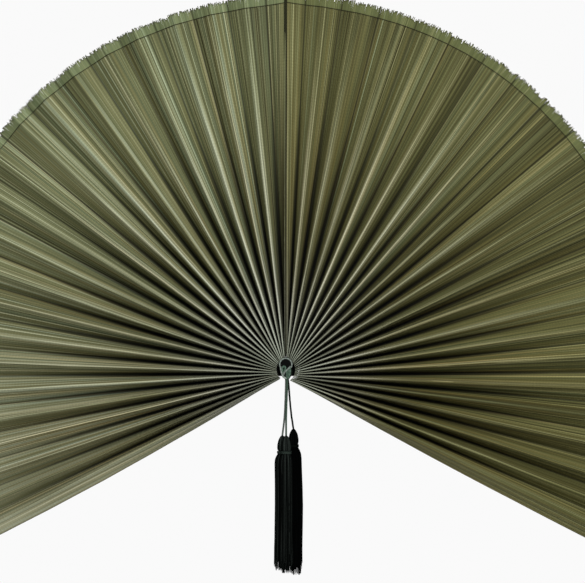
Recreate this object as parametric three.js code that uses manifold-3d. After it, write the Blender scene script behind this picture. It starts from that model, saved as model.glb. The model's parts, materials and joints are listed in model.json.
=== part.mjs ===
// Bamboo wall fan: a leaf of pleated bamboo matting opened round a hub, with three tassels.
// Millimetres, +Z up. The wall is the plane y = 0, the front faces -Y, and the origin is on the
// wall at the axis of the hub peg.
import * as THREE from "three";
import { mergeVertices } from "three/addons/utils/BufferGeometryUtils.js";
import Module from "manifold-3d";

// Leaf
const leafRadius = 400; // from the point where the pleats meet to the tips of the fringe
const fringeLength = 12.5; // bare sliver ends beyond the stitched rim
const halfSpread = 119.5; // degrees, from the seam at the top to either end of the leaf
const pleatsPerSide = 21;
const endNarrowing = 0.32; // share of their width that the last pleats lose
const unevenness = 0.1; // share by which the hand-folded pleats differ
const rimDepth = 8; // depth that is left in the widest pleat at the rim
const matThickness = 0.5;
const fringeThickness = 0.35;
const foldLand = 0.6; // half the width of the blunt front of a fold
const seamDrop = 3; // the seam stands back from the other folds
const seamSlit = 0.6; // between the two mats where they meet

// Hub
const leafDrop = 7; // the pleats meet this far below the peg
const topOpening = 15.5; // from that point to the inner end of the pleats at the top
const endOpening = 11.5; // the same at the ends of the leaf
const pegRadius = 5.3;
const pegLength = 20;
const plateThickness = 3;
const stringInset = 5; // from the pleats' inner ends to the cord that strings them
const stringDepth = 11; // of that cord, from the wall
const stringRadius = 0.5;
const stopKnotRadius = 1.6;

// Hanging loop and tassels
const loopCordRadius = 0.85;
const loopSetBack = 1; // of the loop's middle, from the peg's front
const knotTop = 2; // below the peg's axis
const knotLength = 13;
const knotHalfWidth = 6;
const knotHalfDepth = 3;
const knotLean = 1.5; // of the foot of the knot, to the right of its top
const dropCordRadius = 0.9;
const tasselLength = 145;
const headLength = 18;
const headRadius = 5.2;
const neckRadius = 3.9;
const skirtRadius = 5.6;
const strandDepth = 0.35; // of the furrows between the strands
const strandCount = 12;
const tipRaggedness = 4;
const bindingThread = 0.4; // radius
const bindingPitch = 1.25;
const bindingTurns = 2;

// Fits
const gap = 0.3; // between neighbours that touch
const stringClearance = 0.4; // round the cord in its holes
const squeeze = 0.7; // of half a pleat's width, where the mats are pressed thin at the hub

const wasm = await Module();
wasm.setup();
const radians = THREE.MathUtils.degToRad;

// Closed meshes and solids

function toSolid(geometry) {
  const bare = geometry.clone();
  bare.deleteAttribute("normal");
  bare.deleteAttribute("uv");
  const merged = mergeVertices(bare);
  return new wasm.Manifold(new wasm.Mesh({
    numProp: 3,
    vertProperties: new Float32Array(merged.attributes.position.array),
    triVerts: new Uint32Array(merged.index.array),
  }));
}

function toGeometry(solid) {
  const { numProp, vertProperties, triVerts } = solid.getMesh();
  const geometry = new THREE.BufferGeometry();
  geometry.setAttribute("position", new THREE.BufferAttribute(vertProperties, numProp));
  geometry.setIndex(new THREE.BufferAttribute(triVerts, 1));
  return geometry;
}

// Skin over a row of rings of points, closed at both ends by the given triangles of a ring. Seen
// from the last ring, each ring runs anticlockwise. A twisted side is divided from its corner
// nearest the wall to the opposite one, so the two faces of a mat bend alike.
function skin(rings, capTriangles) {
  const count = rings[0].length;
  const indices = [];
  for (let i = 0; i + 1 < rings.length; i++) {
    for (let j = 0; j < count; j++) {
      const next = (j + 1) % count;
      const a = i * count + j;
      const b = i * count + next;
      if (rings[i][j].y >= rings[i][next].y) indices.push(a, b, b + count, a, b + count, a + count);
      else indices.push(a, b, a + count, b, b + count, a + count);
    }
  }
  const last = (rings.length - 1) * count;
  for (const [a, b, c] of capTriangles) {
    indices.push(a, c, b, last + a, last + b, last + c);
  }
  const geometry = new THREE.BufferGeometry();
  geometry.setFromPoints(rings.flat());
  geometry.setIndex(indices);
  return geometry;
}

function mirrored(geometry) {
  geometry.scale(-1, 1, 1);
  const corners = geometry.index.array;
  for (let i = 0; i < corners.length; i += 3) {
    [corners[i + 1], corners[i + 2]] = [corners[i + 2], corners[i + 1]];
  }
  return geometry;
}

function circle(radius, sides) {
  const shape = new THREE.Shape();
  for (let i = 0; i < sides; i++) {
    const angle = (2 * Math.PI * i) / sides;
    const point = [radius * Math.cos(angle), radius * Math.sin(angle)];
    if (i === 0) shape.moveTo(...point);
    else shape.lineTo(...point);
  }
  return shape;
}

function tube(path, radius, steps, sides = 8) {
  return new THREE.ExtrudeGeometry(circle(radius, sides), { extrudePath: path, steps });
}

// Pleat angles, measured from the seam at the top

function pitchesOf(side) {
  const shares = [];
  for (let k = 1; k <= pleatsPerSide; k++) {
    const narrowing = 1 - endNarrowing * (k / pleatsPerSide) ** 6;
    shares.push(narrowing * (1 + unevenness * Math.sin(2.4 * k + side)));
  }
  const total = shares.reduce((sum, share) => sum + share) + shares.at(-1) / 2;
  return shares.map((share) => radians(halfSpread) * share / total);
}

const pitches = { left: pitchesOf(-1), right: pitchesOf(1) };
const widestHalf = Math.max(...pitches.left, ...pitches.right) / 2;
const panelWidth = Math.hypot(rimDepth, leafRadius * Math.tan(widestHalf));

// The opening round the hub is long upwards, because the pleats meet below the peg.
function openingAt(angle) {
  return topOpening + (endOpening - topOpening) * Math.abs(angle) / radians(halfSpread);
}

function stringRadiusAt(angle) {
  return openingAt(angle) + stringInset;
}

// A fold leans over as the pleat widens, so its depth falls towards the rim.
function foldDepth(distance, halfAngle) {
  return Math.sqrt(panelWidth ** 2 - (distance * Math.tan(halfAngle)) ** 2);
}

// Distances of a pleat's cross-sections, closest together near the hub, where it twists most.
function stationsFrom(inner) {
  const stitched = leafRadius - fringeLength;
  const shares = [0, 0.07, 0.2, 0.42, 0.7, 1];
  return [...shares.map((share) => inner + share * (stitched - inner)), leafRadius];
}

// One sloping panel in the cross-section of a pleat: its foot on the wall, its top at the fold.
function panelSection(distance, halfAngle, depth, landStart) {
  const foot = distance * Math.tan(halfAngle) - gap / 2;
  const land = landStart + Math.min(foldLand, (1 - squeeze) * (foot - landStart));
  const fullThickness = distance > leafRadius - fringeLength ? fringeThickness : matThickness;
  const thickness = Math.min(fullThickness, squeeze * (foot - landStart));
  const slope = Math.atan2(depth, foot - land);
  const innerFoot = foot - thickness / Math.sin(slope);
  const innerTop = Math.min((innerFoot - landStart) * Math.tan(slope), depth - fullThickness);
  return { foot, land, innerFoot, innerTop };
}

function place(across, depth, distance) {
  return new THREE.Vector3(across, -depth, distance);
}

// A folded pleat along +Z with its fold in front, between the valleys at its two half angles.
function pleatGeometry(inner, leftHalf, rightHalf) {
  const meanHalf = (leftHalf + rightHalf) / 2;
  const rings = stationsFrom(inner).map((distance) => {
    const depth = foldDepth(distance, meanHalf);
    const left = panelSection(distance, leftHalf, depth, 0);
    const right = panelSection(distance, rightHalf, depth, 0);
    const innerTop = Math.min(left.innerTop, right.innerTop);
    return [
      [-left.land, depth], [right.land, depth], [right.foot, 0], [right.innerFoot, 0],
      [0, innerTop], [-left.innerFoot, 0], [-left.foot, 0],
    ].map(([across, front]) => place(across, front, distance));
  });
  return skin(rings, [[0, 1, 4], [1, 2, 3], [1, 3, 4], [0, 4, 5], [0, 5, 6]]);
}

// One panel beside the seam, on the +X side of it.
function seamPanelGeometry(inner, half) {
  const rings = stationsFrom(inner).map((distance) => {
    const depth = foldDepth(distance, half) - seamDrop;
    const panel = panelSection(distance, half, depth, seamSlit / 2);
    return [
      [seamSlit / 2, depth], [panel.land, depth], [panel.foot, 0], [panel.innerFoot, 0],
      [seamSlit / 2, panel.innerTop],
    ].map(([across, front]) => place(across, front, distance));
  });
  return skin(rings, [[0, 1, 4], [1, 2, 3], [1, 3, 4]]);
}

// The hole for the stringing cord crosses a pleat from side to side.
function withStringHole(geometry, angle) {
  const cut = new THREE.CylinderGeometry(
    stringRadius + stringClearance, stringRadius + stringClearance, panelWidth, 10);
  cut.rotateZ(Math.PI / 2);
  cut.translate(0, -stringDepth, stringRadiusAt(angle));
  return toGeometry(toSolid(geometry).subtract(toSolid(cut)));
}

// Hub

function onLeaf(angle, distance, depth) {
  return new THREE.Vector3(distance * Math.sin(angle), -depth, distance * Math.cos(angle) - leafDrop);
}

function hubPegGeometry() {
  const outline = new THREE.Shape();
  const steps = 32;
  for (let i = 0; i <= steps; i++) {
    const angle = radians(halfSpread) * (2 * i / steps - 1);
    const edge = onLeaf(angle, openingAt(angle) - gap, 0);
    if (i === 0) outline.moveTo(edge.x, edge.z);
    else outline.lineTo(edge.x, edge.z);
  }
  const plate = new THREE.ExtrudeGeometry(outline, { depth: plateThickness, bevelEnabled: false });
  plate.rotateX(Math.PI / 2);
  const chamfer = pegRadius / 10;
  const rootDepth = plateThickness / 2;
  const peg = new THREE.LatheGeometry([
    new THREE.Vector2(0, rootDepth), new THREE.Vector2(pegRadius, rootDepth),
    new THREE.Vector2(pegRadius, pegLength - chamfer), new THREE.Vector2(pegRadius - chamfer, pegLength),
    new THREE.Vector2(0, pegLength),
  ], 32);
  peg.rotateX(Math.PI);
  return toGeometry(toSolid(plate).add(toSolid(peg)));
}

function stringingCordGeometry(lastFolds) {
  const reach = gap + stringClearance + stopKnotRadius;
  const ends = lastFolds.map((angle) => angle + Math.sign(angle) * reach / stringRadiusAt(angle));
  const steps = 36;
  const points = [];
  for (let i = 0; i <= steps; i++) {
    const angle = ends[0] + (ends[1] - ends[0]) * i / steps;
    points.push(onLeaf(angle, stringRadiusAt(angle), stringDepth));
  }
  let cord = toSolid(tube(new THREE.CatmullRomCurve3(points), stringRadius, steps));
  for (const end of [points[0], points.at(-1)]) {
    const knot = new THREE.SphereGeometry(stopKnotRadius, 10, 8);
    knot.translate(end.x, end.y, end.z);
    cord = cord.add(toSolid(knot));
  }
  return toGeometry(cord);
}

function hangingLoopGeometry() {
  const middleRadius = pegRadius + gap + loopCordRadius;
  const loop = new THREE.TorusGeometry(middleRadius, loopCordRadius, 8, 28);
  loop.rotateX(Math.PI / 2);
  loop.translate(0, -(pegLength - loopSetBack), 0);
  return loop;
}

// The knot is a flattened bulb, broad below its top, leaning and drawn in to the cords at its foot.
function knotGeometry() {
  const outline = [[0, 0], [0.55, 0.05], [0.92, 0.2], [1, 0.4], [0.8, 0.66], [0.45, 0.86], [0.3, 1], [0, 1]];
  const profile = outline.map(([across, down]) => new THREE.Vector2(across * knotHalfWidth, -down * knotLength));
  const knot = new THREE.LatheGeometry(profile.reverse(), 16);
  knot.rotateX(Math.PI / 2);
  knot.scale(1, knotHalfDepth / knotHalfWidth, 1);
  knot.applyMatrix4(new THREE.Matrix4().makeShear(0, 0, 0, 0, -knotLean / knotLength, 0));
  return knot;
}

// Tassels

// A tassel hangs from its own top at z = 0: a round head, a waist for the binding and a skirt of
// strands that end at different lengths, hollow underneath.
function tasselGeometry(turn) {
  const waistHeight = 2 * bindingThread + bindingPitch * bindingTurns + 2 * gap;
  const skirtTop = headLength + waistHeight;
  const skirtLength = tasselLength - skirtTop;
  const stations = [
    [0, 0.18 * headRadius, 0], [0.08 * headLength, 0.6 * headRadius, 0.3], [0.28 * headLength, 0.93 * headRadius, 0.6],
    [0.55 * headLength, headRadius, 0.8], [0.85 * headLength, 0.92 * headRadius, 0.6],
    [headLength, neckRadius, 0], [skirtTop, neckRadius, 0],
    [skirtTop + 0.03 * skirtLength, 0.9 * skirtRadius, 0.8], [skirtTop + 0.12 * skirtLength, skirtRadius, 1],
    [skirtTop + 0.5 * skirtLength, 0.95 * skirtRadius, 1], [skirtTop + 0.85 * skirtLength, skirtRadius, 1],
    [tasselLength, 0.97 * skirtRadius, 1],
  ];
  const hollow = [tasselLength - 2 * tipRaggedness, 0.4 * skirtRadius, 0];
  const count = 2 * strandCount;
  const rings = [...stations, hollow].map(([down, radius, furrow], station) => {
    const ring = [];
    for (let j = 0; j < count; j++) {
      const angle = turn + (2 * Math.PI * j) / count;
      const strand = radius - (j % 2) * furrow * strandDepth;
      const isTip = station === stations.length - 1;
      const tip = isTip ? tipRaggedness * (0.5 + 0.5 * Math.sin(2.7 * j + 5 * turn)) : 0;
      ring.push(new THREE.Vector3(strand * Math.cos(angle), strand * Math.sin(angle), tip - down));
    }
    return ring.reverse();
  });
  const fan = [];
  for (let j = 1; j + 1 < count; j++) fan.push([0, j, j + 1]);
  return skin(rings, fan);
}

// The binding is one thread wound round the waist.
function bindingPath() {
  const radius = neckRadius + gap + bindingThread;
  const points = [];
  const stepsPerTurn = 24;
  for (let i = 0; i <= stepsPerTurn * bindingTurns; i++) {
    const angle = (2 * Math.PI * i) / stepsPerTurn;
    const down = headLength + gap + bindingThread + (bindingPitch * i) / stepsPerTurn;
    points.push(new THREE.Vector3(radius * Math.cos(angle), radius * Math.sin(angle), -down));
  }
  return points;
}

function leastSelfGap(points, diameter, skipped) {
  let least = Infinity;
  for (let i = 0; i < points.length; i++) {
    for (let j = i + skipped; j < points.length; j++) {
      least = Math.min(least, points[i].distanceTo(points[j]) - diameter);
    }
  }
  return least;
}

function bindingGeometry() {
  const points = bindingPath();
  return tube(new THREE.CatmullRomCurve3(points), bindingThread, points.length - 1, 6);
}

// Scene

const finishes = {
  bamboo: { color: 0x7b7c58, roughness: 0.7 },
  peg: { color: 0x0c0d0c, roughness: 0.5 },
  cord: { color: 0x6f8573, roughness: 0.85 },
  thread: { color: 0x4a4c36, roughness: 0.85 },
  tassel: { color: 0x141715, roughness: 0.9 },
};

function piece(name, geometry, finish, parent) {
  geometry.computeVertexNormals();
  const material = new THREE.MeshStandardMaterial({ metalness: 0, ...finishes[finish] });
  const mesh = new THREE.Mesh(geometry, material);
  mesh.name = name;
  parent.add(mesh);
  return mesh;
}

const fan = new THREE.Group();
fan.name = "bamboo_wall_fan";
piece("hub_peg", hubPegGeometry(), "peg", fan);

const leaf = new THREE.Group();
leaf.position.z = -leafDrop;
fan.add(leaf);
const lastFolds = [];
for (const [side, sign] of [["left", -1], ["right", 1]]) {
  const seamPanel = withStringHole(seamPanelGeometry(topOpening, pitches[side][0] / 2), 0);
  piece(`${side}_seam_panel`, sign < 0 ? mirrored(seamPanel) : seamPanel, "bamboo", leaf);
  let fold = 0;
  for (let k = 0; k < pleatsPerSide; k++) {
    fold += pitches[side][k];
    const towardsSeam = pitches[side][k] / 2;
    const towardsEnd = (pitches[side][k + 1] ?? pitches[side][k]) / 2;
    const halves = sign < 0 ? [towardsEnd, towardsSeam] : [towardsSeam, towardsEnd];
    const pleat = withStringHole(pleatGeometry(openingAt(fold), ...halves), fold);
    const name = `${side}_pleat_${String(k + 1).padStart(2, "0")}`;
    piece(name, pleat, "bamboo", leaf).rotation.y = sign * fold;
  }
  lastFolds.push(sign * fold);
}
piece("stringing_cord", stringingCordGeometry(lastFolds), "thread", fan);

const hanger = new THREE.Group();
fan.add(hanger);
piece("hanging_loop", hangingLoopGeometry(), "cord", hanger);
const knot = piece("hanger_knot", knotGeometry(), "cord", hanger);
knot.position.set(0, -(pegLength + gap + knotHalfDepth), -knotTop);

// Each drop cord's points run down from the foot of the knot, and its tassel hangs at the last one.
const drops = [
  {
    side: "left", turn: 0.4, lean: 1.3,
    points: [[-1.1, 1, 0], [-1.2, 1.4, -6], [-1.5, 2, -15], [-2, 2.8, -28], [-3.1, 3.7, -44], [-5.1, 4.4, -60]],
  },
  {
    side: "middle", turn: 0, lean: 0,
    points: [[0, -1, 0], [0.4, -1.5, -6], [0.3, -2.4, -15], [-0.1, -3.6, -28], [-0.4, -5, -44], [-0.3, -6.3, -60]],
  },
  {
    side: "right", turn: 0.9, lean: -1.3,
    points: [[1.1, 1, 0], [1.7, 1.3, -5], [2.3, 1.9, -13], [3.2, 2.8, -25], [4.6, 3.7, -39], [6.7, 4.4, -53]],
  },
];
const dropGroup = new THREE.Group();
dropGroup.position.set(knotLean, knot.position.y, knot.position.z - knotLength - gap);
hanger.add(dropGroup);
for (const { side, turn, lean, points } of drops) {
  const route = points.map((point) => new THREE.Vector3(...point));
  piece(`${side}_drop_cord`, tube(new THREE.CatmullRomCurve3(route), dropCordRadius, 16), "cord", dropGroup);
  const tasselGroup = new THREE.Group();
  tasselGroup.position.copy(route.at(-1));
  tasselGroup.position.z -= gap;
  tasselGroup.rotation.y = radians(lean);
  dropGroup.add(tasselGroup);
  piece(`${side}_tassel`, tasselGeometry(turn), "tassel", tasselGroup);
  piece(`${side}_tassel_binding`, bindingGeometry(), "thread", tasselGroup);
}
const selfGap = leastSelfGap(bindingPath(), 2 * bindingThread, 12);
console.log(`least gap between the turns of a binding: ${selfGap.toFixed(2)} mm`);

export default fan;
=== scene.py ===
"""Bamboo wall fan: pleated mats, ragged rim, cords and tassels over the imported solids."""

import json
import math
import random

import bpy
from bpy.props import FloatProperty, FloatVectorProperty, IntProperty, PointerProperty
from mathutils import Matrix, Vector, noise


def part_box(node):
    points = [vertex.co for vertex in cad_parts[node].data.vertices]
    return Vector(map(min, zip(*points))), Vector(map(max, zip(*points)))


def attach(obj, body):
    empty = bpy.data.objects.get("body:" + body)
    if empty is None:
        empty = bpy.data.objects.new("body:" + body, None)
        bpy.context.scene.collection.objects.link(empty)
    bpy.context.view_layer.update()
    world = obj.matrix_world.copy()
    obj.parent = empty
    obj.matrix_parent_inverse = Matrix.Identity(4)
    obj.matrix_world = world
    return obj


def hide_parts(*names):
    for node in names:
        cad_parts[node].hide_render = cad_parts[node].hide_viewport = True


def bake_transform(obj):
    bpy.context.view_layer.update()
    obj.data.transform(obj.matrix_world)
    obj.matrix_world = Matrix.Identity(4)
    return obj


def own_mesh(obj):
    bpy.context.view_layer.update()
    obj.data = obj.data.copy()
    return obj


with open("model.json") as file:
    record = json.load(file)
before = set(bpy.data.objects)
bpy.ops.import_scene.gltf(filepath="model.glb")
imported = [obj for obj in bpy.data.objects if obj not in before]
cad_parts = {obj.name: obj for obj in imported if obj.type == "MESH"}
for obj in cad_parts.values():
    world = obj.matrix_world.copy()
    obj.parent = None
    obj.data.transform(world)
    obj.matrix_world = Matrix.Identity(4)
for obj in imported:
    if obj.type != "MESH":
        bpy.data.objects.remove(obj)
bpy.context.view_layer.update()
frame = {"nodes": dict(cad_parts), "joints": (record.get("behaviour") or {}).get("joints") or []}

bl_info = {
    "name": "Bamboo wall fan",
    "version": (1, 0, 0),
    "blender": (4, 5, 0),
    "location": "3D View > Sidebar > Wall fan",
    "description": "Builds a pleated bamboo wall fan with three tassels",
    "category": "Add Mesh",
}

SIDES = {"left": -1, "right": 1}
MM = 0.001
JOINTS = {joint["name"]: joint for joint in frame["joints"]}
PLEATS = sum(name.startswith("right_fold_") for name in JOINTS)
PLACES = "sliver_places"  # UV map: sliver or strand number across, lengths along
PLACE_LENGTH = 0.02  # metres for one unit along a sliver or strand
VALLEY = 100  # sliver numbers set aside for one valley
HALF = 5000  # sliver numbers set aside for one half of the leaf

# Routes of the drop cords from the foot of the knot, in millimetres
CORD_ROUTES = {
    "left": [
        (-1.1, 1, 0), (-1.2, 1.4, -6), (-1.5, 2, -15),
        (-2, 2.8, -28), (-3.1, 3.7, -44), (-5.1, 4.4, -60),
    ],
    "middle": [
        (0, -1, 0), (0.4, -1.5, -6), (0.3, -2.4, -15),
        (-0.1, -3.6, -28), (-0.4, -5, -44), (-0.3, -6.3, -60),
    ],
    "right": [
        (1.1, 1, 0), (1.7, 1.3, -5), (2.3, 1.9, -13),
        (3.2, 2.8, -25), (4.6, 3.7, -39), (6.7, 4.4, -53),
    ],
}
TASSEL_LENGTHS = {"left": 0.99, "middle": 1.01, "right": 1.07}  # shares of the usual length
TASSEL_LEANS = {"left": 0.4, "middle": 0.0, "right": -0.4}  # degrees about +Y
# Share of worn strands in a tassel, and how light they and the binding are: wear, and painted shade on the
# right tassel, which hangs in shadow
TASSEL_WEAR_AND_SHADE = {"left": (0.5, 1.0), "middle": (0.36, 1.1), "right": (0.1, 0.12)}
SKIRT_PUSH = {"left": -1.6, "middle": 0.0, "right": 1.7}  # by the skirts beside it, in millimetres
SKIRT_BELLY = {"left": 0.7, "middle": 0.3, "right": 1.3}  # sideways halfway down, in millimetres
# How the pleats lie at the free edges: moved outwards at the hub, drawn in per metre, the bow of the edge
# and how much further in its corner comes
SAGS = {
    "left": {"hub": 0.0038, "drawn": 0.011, "bow": 0.0042, "corner": 0.0005},
    "right": {"hub": 0.0068, "drawn": 0.027, "bow": 0.0018, "corner": -0.0018},
}
SAG_START = math.radians(45)  # angle from the seam beyond which the pleats hang aside


def shares(count):
    """Even shares from 0 to 1."""
    return [i / count for i in range(count + 1)]


def sags_at(angle):
    return SAGS["left" if angle < 0 else "right"]


def length(name, description, default):
    return FloatProperty(name=name, description=description, default=default, unit="LENGTH", precision=5)


def colour(name, description, default):
    return FloatVectorProperty(
        name=name, description=description, default=default, subtype="COLOR", min=0, max=1
    )


class LeafSizes(bpy.types.PropertyGroup):
    """Sizes of the pleated leaf"""

    drop: length("Drop", "How far below the peg the pleats meet", 0.007)
    radius: length("Radius", "From where the pleats meet to the tips of the fringe", 0.3992)
    fringe: length("Fringe", "Bare sliver ends beyond the stitching", 0.0125)
    left_trim: length("Left trim", "How much shorter the left mat is cut", 0.0008)
    seam_peak: length("Seam peak", "How far the rim rises at the seam", 0.0045)
    top_opening: length("Top opening", "Inner end of the pleats at the top", 0.0155)
    end_opening: length("End opening", "Inner end of the pleats at the ends of the leaf", 0.0115)
    front_opening: length("Front opening", "The same at the fronts of the folds", 0.0086)
    thickness: length("Thickness", "Thickness of the mats", 0.0003)
    land: length("Fold land", "Half the width of the round front of a fold", 0.0009)
    seam_drop: length("Seam drop", "How far the seam stands back from the folds", 0.003)
    seam_slit: length("Seam slit", "Half the width of the slit between the two mats", 0.001)
    waviness: length("Waviness", "How far hand folding moves a fold", 0.0007)
    slivers: IntProperty(name="Slivers", description="Slivers across one panel", default=25, min=4, max=48)
    thread: length("Thread", "Radius of the thread along the rim", 0.0004)
    string_inset: length("String inset", "From the pleats' inner ends to the cord that strings them", 0.005)
    string_depth: length("String depth", "Of that cord, from the wall", 0.011)
    string_radius: length("String radius", "Radius of that cord", 0.0005)


class HangerSizes(bpy.types.PropertyGroup):
    """Sizes of the loop, the knot, the cords and the tassels"""

    loop_radius: length("Loop radius", "To the middle of the loop's cord", 0.00645)
    loop_cord: length("Loop cord", "Radius of the loop's cord", 0.00085)
    drop_cord: length("Drop cord", "Radius of a tassel's cord", 0.00105)
    knot_strand: length("Knot strand", "Radius of the strands of the knot", 0.001)
    knot_lean: length("Knot lean", "Of the foot of the knot, to the right of its top", 0.0015)
    tassel: length("Tassel", "Usual length of a tassel", 0.145)
    head: length("Head", "Length of a tassel's head", 0.0162)
    head_radius: length("Head radius", "Radius of a tassel's head", 0.0054)
    neck_radius: length("Neck radius", "Radius of the waist under the head", 0.0046)
    waist: length("Waist", "Height of the waist that is bound", 0.0034)
    skirt_radius: length("Skirt radius", "Radius of a tassel's skirt", 0.0066)
    ragged: length("Ragged ends", "How much the ends of the strands differ", 0.011)
    strand: length("Strand", "Radius of a strand of the skirt", 0.00034)
    strands: IntProperty(name="Strands", description="Strands in a skirt", default=280, min=20)


class FanFinishes(bpy.types.PropertyGroup):
    """Colours of the fan"""

    bamboo_dark: colour("Dark sliver", "Darkest slivers", (0.030, 0.028, 0.012))
    bamboo_olive: colour("Olive sliver", "Usual slivers", (0.200, 0.202, 0.112))
    bamboo_pale: colour("Pale sliver", "Palest slivers", (0.580, 0.580, 0.430))
    left_tint: colour("Left mat", "Cast of the left mat at the seam", (0.91, 1.0, 0.88))
    # The casts at the ends hold the mats' own tone and painted light: paler towards the left end, darker
    # towards the right end
    left_end_tint_and_light: colour("Left end", "Cast of the left mat at its end", (0.96, 1.0, 0.96))
    left_end_paling_and_light: FloatProperty(
        name="Left end fading", description="How much paler the left mat is at its end", default=0.13
    )
    # The near-black of the painted shade at the bottom of the valleys
    deep: colour("Deep valley", "The bottom of the deepest valleys", (0.0008, 0.0010, 0.0004))
    right_tint: colour("Right mat", "Cast of the right mat at the seam", (0.74, 0.76, 0.55))
    right_end_tint_and_light: colour("Right end", "Cast of the right mat at its end", (0.58, 0.58, 0.36))
    fringe: colour("Fringe", "Bare ends at the rim", (0.165, 0.190, 0.104))
    cord_sage: colour("Sage cord", "Light cord", (0.180, 0.210, 0.185))
    cord_green: colour("Green cord", "Deeper cord", (0.060, 0.100, 0.072))
    cord_dark: colour("Dark cord", "Dark cord", (0.012, 0.016, 0.013))
    thread: colour("Thread", "Thread along the rim", (0.022, 0.022, 0.012))
    binding: colour("Binding", "Thread round the tassels", (0.018, 0.025, 0.021))
    tassel: colour("Tassel", "Strands of the tassels", (0.0008, 0.0010, 0.0010))
    tassel_light: colour("Worn strand", "Lightest strands of the tassels", (0.042, 0.052, 0.046))
    peg: colour("Peg", "Stain of the peg", (0.0012, 0.0012, 0.0011))
    floor: colour("Floor", "Colour of the floor", (0.86, 0.86, 0.85))


class StageSizes(bpy.types.PropertyGroup):
    """Camera, light and floor"""

    view_width: length("View width", "Width of the picture at the fan", 0.619)
    view_x: length("View X", "Middle of the picture across", 0.0076)
    view_z: length("View Z", "Middle of the picture up", 0.0772)
    distance: length("Distance", "From the camera to the cords", 10.0)
    aside: FloatProperty(
        name="Aside", description="How far round to the right the camera stands", default=math.radians(4),
        subtype="ANGLE",
    )
    key_power: FloatProperty(
        name="Key light", description="Power of the light above the camera", default=46, unit="POWER"
    )
    back_power: FloatProperty(
        name="Back light", description="Power of the light behind the fan", default=26, unit="POWER"
    )
    light_size: length("Light size", "Side of the two lights", 0.6)
    fill: FloatProperty(name="Fill", description="Strength of the light all round", default=0.18)
    white: FloatProperty(
        name="White", description="Strength of the surroundings where they are seen", default=0.955
    )
    floor_drop: length("Floor drop", "Height of the floor under the peg", 0.30)
    floor_radius: length("Floor radius", "Radius of the floor", 0.5)


# Meshes


class Piece:
    """Gathers the faces of one piece and the places of its points in the pattern."""

    def __init__(self):
        self.points, self.places, self.faces, self.finishes = [], [], [], []

    def add_grid(self, rows, closed=False, finish=0):
        """Adds faces over rows of (point, number across, length along). A closed row joins its two ends."""
        base, across = len(self.points), len(rows[0])
        for row in rows:
            for point, number, along in row:
                self.points.append(point)
                self.places.append((number, along / PLACE_LENGTH))
        for i in range(len(rows) - 1):
            for j in range(across if closed else across - 1):
                a, b = base + i * across + j, base + i * across + (j + 1) % across
                self.faces.append((a, b, b + across, a + across))
                self.finishes.append(finish)
        return base

    def add_cap(self, first, count, finish=0, flip=False):
        ring = range(first, first + count)
        self.faces.append(tuple(reversed(ring)) if flip else tuple(ring))
        self.finishes.append(finish)

    def add_tube(self, path, radius, sides=6, number=0, lobes=0, twist=0.0, loop=False, finish=0):
        """Adds a tube along a path. With lobes it is laid from that many plies, one turn each twist."""
        rows, run = [], 0.0
        frames = path_frames(path, loop)
        for i, (point, right, up) in enumerate(frames):
            run += (point - frames[i - 1][0]).length if i else 0.0
            here = radius(i / (len(frames) - 1)) if callable(radius) else radius
            turn = 2 * math.pi * run / twist if twist else 0.0
            row = []
            for j in range(sides):
                angle = 2 * math.pi * j / sides
                ply = 0.84 + 0.16 * abs(math.cos(lobes * (angle - turn) / 2)) if lobes else 1.0
                out = right * math.cos(angle) + up * math.sin(angle)
                row.append((point + here * ply * out, number + 0.5, run))
            rows.append(row)
        base = self.add_grid(rows, closed=True, finish=finish)
        if not loop:
            self.add_cap(base, sides, finish, flip=True)
            self.add_cap(base + (len(rows) - 1) * sides, sides, finish)

    def build(self, name, materials, smooth=True):
        mesh = bpy.data.meshes.new(name)
        mesh.from_pydata(self.points, [], self.faces)
        for material in materials:
            mesh.materials.append(material)
        mesh.polygons.foreach_set("material_index", self.finishes)
        mesh.polygons.foreach_set("use_smooth", [smooth] * len(self.faces))
        layer = mesh.uv_layers.new(name=PLACES)
        for loop in mesh.loops:
            layer.data[loop.index].uv = self.places[loop.vertex_index]
        mesh.update()
        obj = bpy.data.objects.new(name, mesh)
        bpy.context.scene.collection.objects.link(obj)
        return obj


def path_frames(path, loop=False):
    """Each point of a path with two directions across it, turned as little as possible."""
    frames, right = [], None
    for i, point in enumerate(path):
        before = path[i - 1] if i else (path[-2] if loop else point)
        after = path[i + 1] if i + 1 < len(path) else (path[1] if loop else point)
        along = (after - before).normalized()
        if right is None:
            right = along.orthogonal().normalized()
        right = (right - along * right.dot(along)).normalized()
        frames.append((point, right, along.cross(right)))
    return frames


def smooth_path(points, steps):
    """A curve through points, with that many steps between neighbours."""
    ends = [2 * points[0] - points[1], *points, 2 * points[-1] - points[-2]]
    path = []
    for a, b, c, d in zip(ends, ends[1:], ends[2:], ends[3:]):
        for i in range(steps):
            t = i / steps
            bend, twist = 2 * a - 5 * b + 4 * c - d, 3 * b - a - 3 * c + d
            path.append(0.5 * (2 * b + (c - a) * t + bend * t**2 + twist * t**3))
    return [*path, points[-1].copy()]


def path_length(path):
    return sum((b - a).length for a, b in zip(path, path[1:]))


def thicken(piece, thickness):
    """Gives a sheet its thickness, on its front and with the second of its materials there."""
    thick = piece.modifiers.new("thickness", "SOLIDIFY")
    thick.thickness, thick.offset, thick.material_offset = thickness, -1, 1
    return thick


def stands_for(piece, body, node):
    """The piece rides on a body in place of one of its solids."""
    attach(piece, body)
    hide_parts(node)


# Materials


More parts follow.
